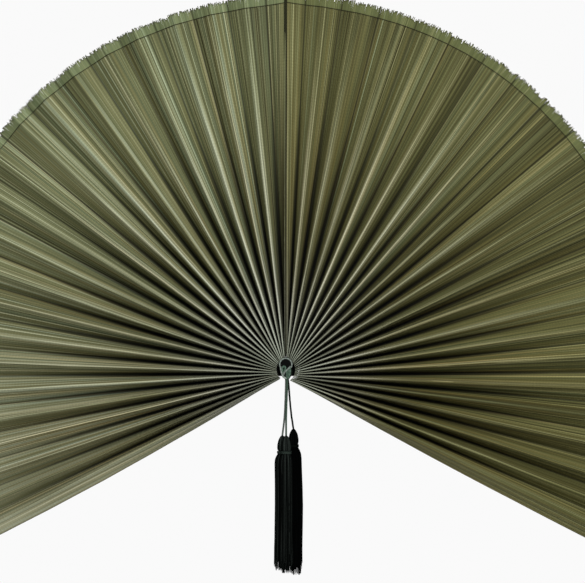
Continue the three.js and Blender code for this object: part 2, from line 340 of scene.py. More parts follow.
class Socket:
    """An output of a node; arithmetic on it adds Math nodes."""

    def __init__(self, tree, output):
        self.tree, self.output = tree, output

    def math(self, operation, *others):
        values = {i: value for i, value in enumerate((self, *others))}
        return self.tree.node("ShaderNodeMath", {"operation": operation}, values)

    def _reflected(self, operation, other):
        return self.tree.node("ShaderNodeMath", {"operation": operation}, {0: other, 1: self})

    def __add__(self, other):
        return self.math("ADD", other)

    __radd__ = __add__

    def __sub__(self, other):
        return self.math("SUBTRACT", other)

    def __rsub__(self, other):
        return self._reflected("SUBTRACT", other)

    def __mul__(self, other):
        return self.math("MULTIPLY", other)

    __rmul__ = __mul__

    def __truediv__(self, other):
        return self.math("DIVIDE", other)

    def __rtruediv__(self, other):
        return self._reflected("DIVIDE", other)

    def __pow__(self, other):
        return self.math("POWER", other)

    def __gt__(self, other):
        return self.math("GREATER_THAN", other)

    def clamped(self):
        return self.tree.node("ShaderNodeClamp", {}, {"Value": self})

    def eased(self, low, high):
        """Rises smoothly from 0 at low to 1 at high."""
        inputs = {"Value": self, "From Min": low, "From Max": high}
        return self.tree.node("ShaderNodeMapRange", {"interpolation_type": "SMOOTHSTEP"}, inputs)


class Tree:
    """Adds nodes to a material's or the world's node tree."""

    def __init__(self, node_tree):
        self.node_tree = node_tree
        node_tree.nodes.clear()

    def node(self, kind, settings, inputs, output=0):
        """Adds a node: its settings first, then the values or links of its sockets."""
        made = self.node_tree.nodes.new(kind)
        for name, value in settings.items():
            if name == "stops":
                while len(made.color_ramp.elements) < len(value):
                    made.color_ramp.elements.new(0.5)
                for element, (position, tone) in zip(made.color_ramp.elements, value, strict=True):
                    element.position, element.color = position, (*tone, 1)
            else:
                setattr(made, name, value)
        for name, value in inputs.items():
            if isinstance(value, Socket):
                self.node_tree.links.new(value.output, made.inputs[name])
            else:
                made.inputs[name].default_value = value
        return Socket(self, made.outputs[output]) if made.outputs else None

    def mix(self, factor, first, second, blend="MIX"):
        """Mixes two colours."""
        settings = {"data_type": "RGBA", "blend_type": blend}
        return self.node("ShaderNodeMix", settings, {0: factor, 6: first, 7: second}, 2)

    def cast(self, factor, base, tint):
        """Gives a colour a cast, as far as the factor says."""
        return self.mix(factor, base, self.mix(1.0, base, tint, "MULTIPLY"))

    def chance(self, value):
        """A chance value from 0 to 1 for each whole number."""
        return self.node("ShaderNodeTexWhiteNoise", {"noise_dimensions": "1D"}, {"W": value})

    def noise(self, across, along, detail=2.0):
        """Noise over a pattern's two directions."""
        at = self.node("ShaderNodeCombineXYZ", {}, {"X": across, "Y": along})
        return self.node(
            "ShaderNodeTexNoise", {"noise_dimensions": "2D"}, {"Vector": at, "Scale": 1.0, "Detail": detail}
        )

    def places(self):
        """The number across and the length along, from the piece's own map."""
        at = self.node("ShaderNodeUVMap", {"uv_map": PLACES}, {})
        split = self.node("ShaderNodeSeparateXYZ", {}, {"Vector": at})
        return split, Socket(self, split.output.node.outputs["Y"])

    def surface(self, inputs, height, depth, gloss=0.5):
        """Ends the material in a Principled shader with a bump of that depth in metres."""
        normal = self.node("ShaderNodeBump", {}, {"Height": height, "Distance": depth, "Strength": 0.8})
        inputs = {**inputs, "Specular IOR Level": gloss, "Normal": normal}
        shader = self.node("ShaderNodeBsdfPrincipled", {}, inputs)
        self.node("ShaderNodeOutputMaterial", {}, {"Surface": shader})


def new_material(name):
    material = bpy.data.materials.new(name)
    material.use_nodes = True
    return material, Tree(material.node_tree)


def scaled(tone, times):
    return [times * part for part in tone]


def rgba(tone):
    return (*tone, 1)


BROWN_CAST = (1.0, 0.80, 0.60)
GREY_CAST = (0.80, 0.92, 1.06)
# Colour cast of the painted shade by the hub
HUB_SHADE = (0.45, 0.62, 0.48)


def bamboo(name, finishes, sizes, valley_shade, seam_tint, end_tint_and_light, end_paling_and_light, wear_and_highlight_loss, seam_shade):
    """Dyed bamboo slivers side by side, pale along the folds from wear and a painted highlight, with
    painted shade in the valleys.

    The numbers of a valley run from one fold over the valley to the next. A pair of shares says how much
    less pale, from wear and painted highlight, the folds at the end of the leaf are, by the hub and further
    out."""
    material, tree = new_material(name)
    across, along = tree.places()
    reach = along / ((sizes.radius - sizes.fringe) / PLACE_LENGTH)
    fold = ((across / VALLEY).math("FRACT") * (VALLEY / sizes.slivers) - 1).math("ABSOLUTE")
    from_seam = (across / HALF).math("FRACT") * HALF
    outwards = (from_seam / (VALLEY * (PLEATS + 1))).eased(0.3, 0.95)
    seam = 1 - (from_seam > VALLEY + sizes.slivers)
    even = reach.eased(0.4, 0.9)

    # Slivers of uneven width, in bundles of like tone
    width = tree.node("ShaderNodeTexNoise", {"noise_dimensions": "1D"}, {"W": across * 0.83, "Scale": 1.0})
    sliver = across + (width - 0.5) * 2.2
    number, within = sliver.math("FLOOR"), sliver.math("FRACT")
    bundle, in_bundle = (sliver / 2.5).math("FLOOR"), (sliver / 2.5).math("FRACT")
    batch = tree.noise(across * 0.13, along * 0.05)
    streak = tree.noise(across * 0.25, along * 0.1, 3.0)
    grain = tree.noise(across * 3.0, along * 0.9, 4.0)
    chance = tree.chance(number)
    panel = tree.chance((across / sizes.slivers).math("FLOOR") + 0.19)

    # Pale along the folds: wear, and a painted highlight on the round fronts of the folds
    rubbed_and_lit = panel.math("MAXIMUM", 1 - from_seam.eased(350, 800))
    worn = fold.eased(0.55, 0.95) * 0.6 + fold.eased(0.88, 0.96) * 0.4
    worn = worn * (1 - reach.eased(0.45, 1.0) * 0.85) * (1 - seam * 0.7)
    worn = worn * (1 - outwards * (wear_and_highlight_loss[0] + reach.eased(0.1, 0.35) * (wear_and_highlight_loss[1] - wear_and_highlight_loss[0])))

    # How pale each sliver is
    tone = chance * (0.22 + even * 0.16) + (chance > 0.92) * 0.16
    tone = tone + tree.chance(bundle + 0.43) * (0.28 - even * 0.16)
    tone = tone + streak.eased(0.28, 0.72) * 0.14 + grain * 0.2 + batch * 0.14 + panel * 0.24
    # Paler towards the left end: the mat's tone and painted light
    paling_and_light = outwards * (reach.eased(0.15, 0.6) + reach.eased(0.7, 0.95)) * end_paling_and_light
    # The pale folds add wear and a painted highlight to the tone, in full near the seam and on some panels
    tone = tone + worn * (0.2 + rubbed_and_lit * 0.4) + paling_and_light
    tone = tone + reach.eased(0.3, 0.65) * 0.05 - reach.eased(0.85, 1.0) * 0.06 - 0.23
    stops = [(0.05, finishes.bamboo_dark), (0.5, finishes.bamboo_olive), (1.0, finishes.bamboo_pale)]
    base = tree.node("ShaderNodeValToRGB", {"stops": stops}, {"Fac": tone})

    # Browned and greyed slivers, bare ends, and the cast of the mat
    browned = tree.chance(bundle + 0.37) * 0.6 + batch.eased(0.45, 0.7) * 0.5
    base = tree.cast(browned.clamped() * (1 - worn * 0.8) * (1 - even * 0.4), base, rgba(BROWN_CAST))
    greyed = (tree.chance(bundle + 0.61) > 0.8) * (1 - worn) * (0.8 - even * 0.3)
    base = tree.cast(greyed, base, rgba(GREY_CAST))
    faded = 0.45 + reach.eased(0.08, 0.42) * 0.55
    base = tree.node("ShaderNodeHueSaturation", {}, {"Saturation": faded, "Color": base})
    beyond = (reach - 1) / (sizes.fringe / (sizes.radius - sizes.fringe))
    bare = (beyond * 40).clamped()
    base = tree.mix(bare * 0.6, base, rgba(finishes.fringe))
    # The cast runs from the seam to the end of the mat; at the ends it holds painted light as well as the
    # mat's tone
    tint = tree.mix(outwards, rgba(seam_tint), rgba(end_tint_and_light))
    tinted = (reach.eased(0.0, 0.3) * 0.8 + 0.2) * (1 - worn * (1 - reach.eased(0.3, 1.0) * 0.6) * 0.7)
    base = tree.cast(tinted, base, tint)

    # Clefts between slivers, gaps between bundles, the weft, painted shade along the crease of a valley and
    # the cut tips
    edge = within.math("MINIMUM", 1 - within)
    cleft = (1 - edge / 0.2).clamped() * (0.3 + 0.7 * (tree.chance(number + 0.71) > 0.6))
    cleft = cleft * (1 - bare * 0.6)
    gap = (1 - in_bundle / 0.22).clamped() * (tree.chance(bundle + 0.77) > 0.55) * (1 - bare * 0.6)
    weft = ((along * 38.0 + batch * 9.0).math("SINE") * 0.5 + 0.5) * (1 - bare)
    # Painted shade along the crease of each valley
    crease_shade = (1 - fold / 0.07).clamped() * (0.4 + 0.6 * tree.chance((across / VALLEY).math("FLOOR") + 0.53))
    dark = cleft * 0.7
    for other in (crease_shade * 0.85, weft * 0.14, gap * 0.6, beyond.eased(0.72, 1.0) * 0.8):
        dark = dark.math("MAXIMUM", other)
    base = tree.mix(dark, base, rgba(finishes.bamboo_dark))

    # Painted shade: darker with a green cast by the hub, near-black in the valleys and, on the left mat,
    # beside the seam
    base = tree.cast((1 - reach.eased(0.03, 0.22)) * 0.45, base, rgba(HUB_SHADE))
    shade = (1 - fold / (1.05 - reach * 1.3).math("MAXIMUM", 0.1)).eased(0.0, 0.85)
    shade = shade.math("MAXIMUM", seam * fold.eased(0.2, 0.8) * (1 - reach.eased(0.45, 0.9)) * seam_shade)
    shade = shade * (1 - ((reach - 0.35) / 0.6).clamped() * 0.6) * valley_shade
    base = tree.mix(shade, base, rgba(finishes.deep))
    height = (1 - (within * 2 - 1) ** 2) * 0.5 + weft * 0.2 + grain * 0.25 - cleft * 0.3
    tree.surface({"Base Color": base, "Roughness": 0.55 + grain * 0.3}, height, 0.3 * MM, 0.12)
    return material


def fibre(name, dark, light, light_share, twist=0.0):
    """Spun strands: each number has its own tone, with fine fibres along it."""
    material, tree = new_material(name)
    number, along = tree.places()
    tone = tree.chance(number.math("FLOOR"))
    fuzz = tree.noise(number * 11.0, along * 26.0, 3.0)
    worn = ((tone - (1 - light_share)) / light_share).clamped()
    base = tree.mix(worn * 0.75 + fuzz * 0.1, rgba(dark), rgba(light))
    lay = (along * twist + number * 6.0).math("SINE") * 0.5 + 0.5 if twist else fuzz
    # Darker where the lay is low: in a twisted cord, painted shade in the grooves between its plies;
    # without a twist, darker fibres at random
    base = tree.mix((1 - lay) * 0.5, base, rgba(scaled(dark, 0.4)))
    height = lay * 0.6 + fuzz * 0.4
    tree.surface({"Base Color": base, "Roughness": 0.72 + fuzz * 0.25}, height, 0.15 * MM, 0.003)
    return material


def stained_wood(name, stain):
    """Black stained wood with fine turning marks."""
    material, tree = new_material(name)
    at = tree.node("ShaderNodeTexCoord", {}, {}, "Object")
    marks = tree.node("ShaderNodeTexNoise", {}, {"Vector": at, "Scale": 900.0, "Detail": 3.0})
    base = tree.mix(marks * 0.5, rgba(stain), rgba(scaled(stain, 2.2)))
    tree.surface({"Base Color": base, "Roughness": 0.55 + marks * 0.25}, marks, 0.1 * MM, 0.03)
    return material


# The leaf's own shape


MAT_ROWS = [0, 0.03, 0.08, 0.16, 0.28, 0.42, 0.58, 0.76, 0.9, 1]  # shares of a pleat's length
PEAK_SPREAD = math.radians(5)  # angle in which the rim falls to about a third of its peak
EVEN_LENGTH = 0.1  # from where the pleats meet to where hand folding shows in full
VALLEY_DEPTH = 0.4 * MM  # of the trim in a valley and of the free edges, from the wall
MAT_FOOT = 0.1 * MM  # of a mat in its valley, from the wall
MAT_SINK = 0.25 * MM  # of a mat's edge behind the front of its fold
BOW_START, BOW_LENGTH = 0.03, 0.36  # of the bow in a free edge, from where the pleats meet
FOLD_EDGE = 0.3 * MM  # from the middle of a fold to the edge of the mat under its front
FRONT_LIFT = 0.1 * MM  # of the edges of a fold's front from the panels beside it
CREST_LIFT = 0.15 * MM  # of its middle from the fold
SEAM_LIFT, SEAM_TURN = 0.3 * MM, 1.6 * MM  # how far the seam's edges stand out and turn back into the slit
SLIT_SHADE_HALF, SLIT_SHADE_DEPTH = 2.4 * MM, 3.2 * MM  # half the width of the dark sheet behind the seam, painted shade in its slit, and how far it lies behind
TUCK = 1.5 * MM  # of the bare sliver ends under the stitching
STOP_KNOT = 1.0 * MM  # radius of the knot at each end of the stringing cord


class Leaf:
    """Where the folds of the leaf run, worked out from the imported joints."""

    def __init__(self, sizes):
        self.sizes = sizes
        self.reach = sizes.radius - sizes.fringe
        self.panel = -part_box("right_pleat_01")[0].y
        self.folds = {side: self._folds_of(side) for side in SIDES}

    def _folds_of(self, side):
        """Angles of the folds from the seam outwards and of the valleys before them."""
        ridges, valleys = [0.0], []
        for k in range(1, PLEATS + 1):
            x, _, z = JOINTS[f"{side}_fold_{k:02d}"]["pos_m"]
            valleys.append(math.atan2(x, z + self.sizes.drop))
            ridges.append(2 * valleys[-1] - ridges[-1])
        valleys.append(2 * ridges[-1] - valleys[-1])
        return ridges, valleys

    def ridge(self, side, k):
        return self.folds[side][0][k]

    def valley(self, side, k):
        """The valley on the seam's side of fold k; the last one is the free edge."""
        return self.folds[side][1][k - 1]

    def stitched(self, side, angle):
        """How far out the stitching runs; it rises to the seam."""
        sizes, rise = self.sizes, math.exp(-abs(angle) / PEAK_SPREAD)
        trim = sizes.left_trim * (1 - rise) if side == "left" else 0.0
        return self.reach + sizes.seam_peak * rise - trim

    def stitched_panel(self, side, k, foot, share):
        """The same between fold k at share 0 and the valley at share 1."""
        return self.stitched(side, self.ridge(side, k) * (1 - share) + foot * share)

    def outwards(self, angle):
        """How far from the seam an angle is, as a share of half the leaf."""
        return abs(angle / self.valley("right", PLEATS + 1))

    def opening(self, angle):
        """The inner end of the pleats at the wall."""
        sizes = self.sizes
        return sizes.top_opening + (sizes.end_opening - sizes.top_opening) * self.outwards(angle)

    def front_opening(self, angle):
        """The inner end of the folds, which lean towards the hub at the sides."""
        sizes, lean = self.sizes, 1 - max(1 - self.outwards(angle), 0) ** 1.8
        return sizes.top_opening + (sizes.front_opening - sizes.top_opening) * lean

    def half_width(self, side, k, distance):
        """Half the width of pleat k."""
        if k == 0:
            return distance * math.tan(abs(self.valley(side, 1)))
        return distance * math.tan(abs(self.valley(side, k + 1) - self.valley(side, k)) / 2)

    def land(self, side, k, distance):
        """Half the width of the round front of fold k."""
        return min(self.sizes.land, 0.26 * self.half_width(side, k, distance))

    def depth(self, side, k, distance):
        """Depth of fold k from the wall, with the unevenness of hand folding."""
        half = self.half_width(side, k, distance)
        depth = math.sqrt(max(self.panel**2 - half**2, 0)) * (1 - self.land(side, k, distance) / half / 2)
        uneven = noise.noise((7.3 * k, 3.1 * SIDES[side], 9 * distance)) * min(1, distance / EVEN_LENGTH)
        return depth - (self.sizes.seam_drop if k == 0 else 0.0) - self.sizes.waviness * (1 + uneven)

    def sway(self, k, distance):
        """How far the hand-folded fold k strays sideways."""
        if k == 0:
            return 0.0
        stray = self.sizes.waviness * min(1, distance / EVEN_LENGTH)
        return stray * noise.noise((4.7 * k, 8.9, 11 * distance))

    def slack(self, angle, distance):
        """How far a pleat lies outwards of its line from the hub; most at the ends of the leaf."""
        sags = sags_at(angle)
        share = max(abs(angle) - SAG_START, 0) / (self.valley("right", PLEATS + 1) - SAG_START)
        return (1 if angle > 0 else -1) * share * (sags["hub"] - sags["drawn"] * distance)

    def point(self, angle, distance, depth, shift=0.0):
        """A point of the leaf, moved sideways by shift."""
        shift += self.slack(angle, distance)
        x = distance * math.sin(angle) + shift * math.cos(angle)
        z = distance * math.cos(angle) - shift * math.sin(angle) - self.sizes.drop
        return Vector((x, -depth, z))

    def across(self, angle):
        """The direction square to a fold or valley, along the wall."""
        along = self.point(angle, 0.3, 0) - self.point(angle, 0.1, 0)
        return Vector((along.z, 0, -along.x)).normalized()

    def on_fold(self, side, k, distance, shift=0.0, lift=0.0):
        """A point beside fold k, shifted outwards from the seam and lifted from the mat."""
        sway = self.sway(k, distance) + shift * SIDES[side]
        return self.point(self.ridge(side, k), distance, self.depth(side, k, distance) + lift, sway)

    def on_panel(self, side, k, foot, share, distance, lift=0.0):
        """A point between fold k at share 0 and the valley at share 1."""
        shift = self.sizes.seam_slit if k == 0 else 0.0
        point = self.on_fold(side, k, distance, shift).lerp(self.point(foot, distance, VALLEY_DEPTH), share)
        return point + Vector((0, -lift, 0))


def body_of_pleat(side, k):
    return f"{side}_pleat_{k:02d}" if k else "hub"


def closes_flat(piece, leaf, side, k):
    """The piece rides on pleat k, on a mesh of its own."""
    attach(piece, body_of_pleat(side, k))
    angle = leaf.ridge(side, k)
    leaf.across(angle)
    leaf.point(angle, 0, 0)
    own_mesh(piece)


def finish_mat(mat, leaf, texture, loose):
    """Fine faces, and at a mat's loose points the unevenness of hand folding and its full thickness."""
    group = mat.vertex_groups.new(name="clear of the valley")
    group.add(loose, 1.0, "REPLACE")
    fine = mat.modifiers.new("fine", "SUBSURF")
    fine.subdivision_type, fine.levels, fine.render_levels = "SIMPLE", 4, 4
    uneven = mat.modifiers.new("hand folding", "DISPLACE")
    uneven.texture, uneven.texture_coords, uneven.uv_layer = texture, "UV", PLACES
    uneven.strength, uneven.mid_level, uneven.vertex_group = leaf.sizes.waviness, 0.5, group.name
    thick = thicken(mat, leaf.sizes.thickness)
    thick.vertex_group, thick.thickness_vertex_group = group.name, 0.05


def mat_over(leaf, side, columns, first):
    """A mat over columns of (angle, inner end, point at a distance), with slivers numbered from first."""
    rows = []
    for share in MAT_ROWS:
        row = []
        for j, (angle, inner, at) in enumerate(columns):
            point = at(inner + share * (leaf.stitched(side, angle) - inner))
            row.append((point, first + j * leaf.sizes.slivers, inner + share * (leaf.reach - inner)))
        rows.append(row[::-1] if side == "right" else row)
    mat = Piece()
    mat.add_grid(rows)
    return mat


def first_number(side, k):
    """The first sliver's number in the valley before fold k."""
    return VALLEY * k + (HALF if side == "left" else 0)


def bamboo_of(context, side):
    """The bamboo of one half: its back, without the painted shade in the valleys, and its front, with it.
    """
    names = [f"Bamboo, back of {side} mat", f"Bamboo, {side} mat"]
    if names[0] in bpy.data.materials:
        return [bpy.data.materials[name] for name in names]
    finishes = context.scene.fan_finishes
    looks = {
        "left": {
            "seam_tint": finishes.left_tint, "end_tint_and_light": finishes.left_end_tint_and_light,
            "end_paling_and_light": finishes.left_end_paling_and_light, "wear_and_highlight_loss": (0.9, 0.85), "seam_shade": 0.8,
        },
        "right": {
            "seam_tint": finishes.right_tint, "end_tint_and_light": finishes.right_end_tint_and_light,
            "end_paling_and_light": 0.0, "wear_and_highlight_loss": (0.3, 0.75), "seam_shade": 0.0,
        },
    }
    return [
        bamboo(name, finishes, context.scene.fan_leaf, shade, **looks[side])
        for name, shade in zip(names, (0.0, 1.0), strict=True)
    ]


def add_sliver(piece, leaf, stitched, number, chance, at):
    """One bare sliver end beyond the stitching, between its edges at(distance, -1) and at(distance, 1).

    Its places run to the full length of the fringe, so that its tip is dark."""
    fringe = leaf.sizes.fringe
    reach = fringe * (1 - abs(chance.gauss(0, 0.11)) - (0.14 if chance.random() < 0.3 else 0))
    lift, back = chance.uniform(-0.3, 0.5) * MM, Vector((0, leaf.sizes.thickness, 0))
    rows = []
    for t in (0.0, 0.35, 0.75, 1.0):
        distance = stitched - TUCK + t * (reach + TUCK)
        a, b = [at(distance, way) - Vector((0, lift * t, 0)) for way in (-1, 1)]
        along = leaf.reach - TUCK + t * (fringe + TUCK)
        rows.append([(point, number, along) for point in (a, b, b + back, a + back)])
    base = piece.add_grid(rows, closed=True)
    piece.add_cap(base, 4)
    piece.add_cap(base + 4 * (len(rows) - 1), 4, flip=True)


class FAN_OT_mats(bpy.types.Operator):
    """Make the pleated mats, one piece in each valley and one at each end"""

    bl_idname = "fan.mats"
    bl_label = "Pleated mats"

    def execute(self, context):
        leaf = Leaf(context.scene.fan_leaf)
        texture = bpy.data.textures.new("hand folding", "CLOUDS")
        texture.noise_scale, texture.noise_depth = 12.0, 2
        for side in SIDES:
            materials = bamboo_of(context, side)
            for k in range(1, PLEATS + 1):
                self.valley(leaf, side, k, materials, texture)
            self.end_panel(leaf, side, materials, texture)
        return {"FINISHED"}

    def fold_column(self, leaf, side, k, way):
        """The edge of a mat under the front of fold k, on the outer side of it or on the seam's."""
        angle = leaf.ridge(side, k)

        def at(distance):
            edge = min(FOLD_EDGE, 0.1 * leaf.half_width(side, k, distance))
            shift = leaf.sizes.seam_slit + 0.1 * MM if k == 0 else way * edge
            return leaf.on_fold(side, k, distance, shift, -MAT_SINK)

        return angle, leaf.front_opening(angle), at

    def valley_column(self, leaf, angle):
        inner = leaf.opening(angle) - sags_at(angle)["corner"] * leaf.outwards(angle) ** 2
        return angle, inner, lambda distance: leaf.point(angle, distance, MAT_FOOT)

    def valley(self, leaf, side, k, materials, texture):
        valley = leaf.valley(side, k)
        columns = [
            self.fold_column(leaf, side, k - 1, 1),
            self.valley_column(leaf, valley),
            self.fold_column(leaf, side, k, -1),
        ]
        mat = mat_over(leaf, side, columns, first_number(side, k)).build(f"{side}_mat_{k:02d}", materials)
        middle, across = leaf.point(valley, 0.1, 0), leaf.across(valley) * SIDES[side]
        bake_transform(mat)
        finish_mat(mat, leaf, texture, [i for i in range(len(mat.data.vertices)) if i % len(columns) != 1])
        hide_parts(f"{side}_pleat_{k:02d}", *([f"{side}_seam_panel"] if k == 1 else []))

    def free_edge(self, leaf, side):
        """The edge of the last mat, which bows outwards."""
        angle, bow = leaf.valley(side, PLEATS + 1), SAGS[side]["bow"] * SIDES[side]

        def at(distance):
            share = min(max((distance - BOW_START) / BOW_LENGTH, 0), 1)
            return leaf.point(angle, distance, VALLEY_DEPTH, bow * math.sin(math.pi * share))

        return angle, leaf.opening(angle) - SAGS[side]["corner"], at

    def end_panel(self, leaf, side, materials, texture):
        """The panel beyond the last fold; it lies open, so its front has no painted valley shade either."""
        columns = [self.fold_column(leaf, side, PLEATS, 1), self.free_edge(leaf, side)]
        mat = mat_over(leaf, side, columns, first_number(side, PLEATS + 1))
        mat = mat.build(f"{side}_end_mat", materials[:1])
        finish_mat(mat, leaf, texture, list(range(len(mat.data.vertices))))
        closes_flat(mat, leaf, side, PLEATS)


class FAN_OT_folds(bpy.types.Operator):
    """Make the round fronts of the folds, the two edges of the seam and the dark sheet behind it, which
    paints shade in the slit
    """

    bl_idname = "fan.folds"
    bl_label = "Fold fronts and seam"

    def execute(self, context):
        leaf = Leaf(context.scene.fan_leaf)
        for side in SIDES:
            for k in range(PLEATS + 1):
                front = self.front(leaf, side, k)
                name = f"{side}_fold_front_{k:02d}" if k else f"{side}_seam_edge"
                obj = front.build(name, bamboo_of(context, side))
                thicken(obj, leaf.sizes.thickness)
                if k:
                    closes_flat(obj, leaf, side, k)
                else:
                    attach(obj, "hub")
        self.slit_shade_sheet(leaf, context.scene.fan_finishes)
        return {"FINISHED"}

    def crest(self, leaf, side, k, distance, t):
        """A point on a curve over the fold from panel to panel; at the seam it turns in to the slit."""
        half, land = leaf.half_width(side, k, distance), leaf.land(side, k, distance)
        out = leaf.on_panel(side, k, leaf.valley(side, k + 1), land / half, distance, FRONT_LIFT)
        if k:
            back = leaf.on_panel(side, k, leaf.valley(side, k), land / half, distance, FRONT_LIFT)
            top = leaf.on_fold(side, k, distance, 0, CREST_LIFT) * 2 - (out + back) / 2
        else:
            back = leaf.on_fold(side, k, distance, leaf.sizes.seam_slit, -SEAM_TURN)
            top = leaf.on_fold(side, k, distance, leaf.sizes.seam_slit, SEAM_LIFT)
        return back * (1 - t) ** 2 + top * (2 * t * (1 - t)) + out * t**2

    def front(self, leaf, side, k):
        rows = []
        angle, number = leaf.ridge(side, k), first_number(side, k + 1)
        inner, outer = leaf.front_opening(angle), leaf.stitched(side, angle)
        steps = shares(6)
        if side == "right":
            steps.reverse()
        for share in shares(48):
            distance = inner + share * (outer - inner)
            along = inner + share * (leaf.reach - inner)
            rows.append([(self.crest(leaf, side, k, distance, t), number + 3 * t, along) for t in steps])
        front = Piece()
        front.add_grid(rows)
        chance = random.Random(f"{side} fold {k}")
        for i in range(6 if k else 0):
            middle = (i + 0.5) / 6
            add_sliver(
                front, leaf, outer, number + 3 * middle, chance,
                lambda distance, way: self.crest(leaf, side, k, distance, middle + 0.1 * way),
            )
        return front

    def slit_shade_sheet(self, leaf, finishes):
        """The dark sheet that closes the slit between the two mats from behind, as painted shade in the
        slit.
        """
        # Its dark colour is painted shade in the slit
        material = fibre("Seam tape", finishes.thread, scaled(finishes.thread, 2), 0.5, twist=40.0)
        rows = []
        inner, outer = leaf.opening(0) - 0.5 * MM, leaf.stitched("right", 0) + 0.7 * leaf.sizes.fringe
        for share in shares(24):
            distance = inner + share * (outer - inner)
            half = min(SLIT_SHADE_HALF, 0.6 * leaf.half_width("right", 0, distance))
            rows.append([
                (leaf.on_fold("right", 0, distance, x * half, -SLIT_SHADE_DEPTH), number, distance)
                for number, x in ((4, 1), (3, 0.3), (2, -0.3), (1, -1))
            ])
        tape = Piece()
        tape.add_grid(rows)
        obj = tape.build("slit_shade_sheet", [material])
        thicken(obj, leaf.sizes.thickness)
        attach(obj, "hub")


class FAN_OT_rim(bpy.types.Operator):
    """Make the ragged ends of the slivers beyond the stitching, and the thread along it"""

    bl_idname = "fan.rim"
    bl_label = "Fringe and stitching"

    def execute(self, context):
        leaf, finishes = Leaf(context.scene.fan_leaf), context.scene.fan_finishes
        thread = fibre("Rim thread", finishes.thread, scaled(finishes.thread, 3), 0.4, twist=90.0)
        for side in SIDES:
            for k in range(PLEATS + 1):
                self.pleat_rim(leaf, side, k, [bamboo_of(context, side)[1], thread])
        return {"FINISHED"}

    def pleat_rim(self, leaf, side, k, materials):
        """The fringe on both panels of pleat k, or on the one panel beside the seam."""
        chance = random.Random(f"{side} rim {k}")
        rim, count = Piece(), leaf.sizes.slivers
        for foot_number in range(max(k, 1), k + 2):
            foot, inward = leaf.valley(side, foot_number), foot_number == k
            for i in range(count):
                number = first_number(side, foot_number) + (2 * count - i - 1 if inward else i) + 0.5
                self.add_end(rim, leaf, side, k, foot, (i + 0.5) / count, number, chance)
            self.add_thread(rim, leaf, side, k, foot)
        obj = rim.build(f"{side}_rim_{k:02d}", materials, smooth=False)
        closes_flat(obj, leaf, side, k)

    def add_end(self, rim, leaf, side, k, foot, share, number, chance):
        stitched = leaf.stitched_panel(side, k, foot, share)
        half, splay = chance.uniform(0.5, 0.7) / leaf.sizes.slivers, chance.gauss(0, 0.006)

        def at(distance, way):
            out = max((distance - stitched) / leaf.sizes.fringe, 0)
            place = share + splay * out + way * half * (1 - 0.3 * out**3)
            return leaf.on_panel(side, k, foot, min(max(place, 0), 1), distance)

        add_sliver(rim, leaf, stitched, number, chance, at)

    def add_thread(self, rim, leaf, side, k, foot):
        """The thread, which lies on the panel just inside of the bare ends."""
        radius, path = leaf.sizes.thread, []
        for share in shares(12):
            stitched = leaf.stitched_panel(side, k, foot, share)
            path.append(leaf.on_panel(side, k, foot, share, stitched - 0.5 * MM, radius + 0.35 * MM))
        rim.add_tube(path, radius, sides=6, number=3, finish=1)


class FAN_OT_stringing(bpy.types.Operator):
    """Make the cord that strings the pleats round the hub"""

    bl_idname = "fan.stringing"
    bl_label = "Stringing cord"

    def execute(self, context):
        leaf, finishes = Leaf(context.scene.fan_leaf), context.scene.fan_finishes
        material = fibre("Stringing cord", finishes.thread, scaled(finishes.thread, 3), 0.4, twist=70.0)
        for side in SIDES:
            for k in range(1, PLEATS + 1):
                self.span(leaf, side, k, material)
            self.stop_knot(leaf, side, material)
        return {"FINISHED"}

    def span(self, leaf, side, k, material):
        """The cord from the fold before to fold k; after the last fold it runs on to the free edge."""
        sizes, start, end = leaf.sizes, leaf.ridge(side, k - 1), leaf.ridge(side, k)
        angles = [start + (end - start) * share for share in shares(6)]
        path = [
            leaf.point(angle, leaf.opening(angle) + sizes.string_inset, sizes.string_depth)
            for angle in angles
        ]
        middle, across = path[3], leaf.across(angles[3]) * SIDES[side]
        if k == PLEATS:
            edge = (end + leaf.valley(side, PLEATS + 1)) / 2
            path.append(leaf.point(edge, leaf.opening(end) + sizes.string_inset, sizes.string_depth / 2))
        cord = Piece()
        cord.add_tube(path, sizes.string_radius, sides=8)
        obj = cord.build(f"{side}_stringing_{k:02d}", [material])
        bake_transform(obj)
        if k == 1 and side == "left":
            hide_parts("stringing_cord")

    def stop_knot(self, leaf, side, material):
        """An overhand knot tucked behind the end of the leaf."""
        sizes, angle = leaf.sizes, leaf.ridge(side, PLEATS - 1)
        middle = leaf.point(angle, leaf.opening(angle) + sizes.string_inset, sizes.string_depth / 2)
        turns = []
        for share in shares(40):
            t = 2 * math.pi * share
            x, z = math.sin(2 * t) + 0.3 * math.sin(t), math.cos(2 * t) * (1 + 0.3 * math.cos(t))
            turns.append(middle + STOP_KNOT * Vector((x, 0.6 * math.cos(3 * t), z)))
        knot = Piece()
        knot.add_tube(turns, sizes.string_radius, sides=8)
        obj = knot.build(f"{side}_stop_knot", [material])
        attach(obj, body_of_pleat(side, PLEATS))


# Hub, hanger and tassels


class FAN_OT_peg(bpy.types.Operator):
    """Stain the peg and its plate black"""

    bl_idname = "fan.peg"
    bl_label = "Hub peg"

    def execute(self, context):
        peg = frame["nodes"]["hub_peg"]
        peg.data.materials.clear()
        peg.data.materials.append(stained_wood("Black stained wood", context.scene.fan_finishes.peg))
        bevel = peg.modifiers.new("worn edges", "BEVEL")
        bevel.width, bevel.segments, bevel.limit_method = 0.25 * MM, 2, "ANGLE"
        return {"FINISHED"}


def hanger_origin(sizes):
    """The loop's middle on the peg, and the foot of the knot."""
    low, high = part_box("hanging_loop")
    knot_low, knot_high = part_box("hanger_knot")
    loop = Vector((0, (low.y + high.y) / 2, (low.z + high.z) / 2))
    foot = Vector((sizes.knot_lean, (knot_low.y + knot_high.y) / 2, knot_low.z))
    return loop, foot


PLIES = 3  # of every cord
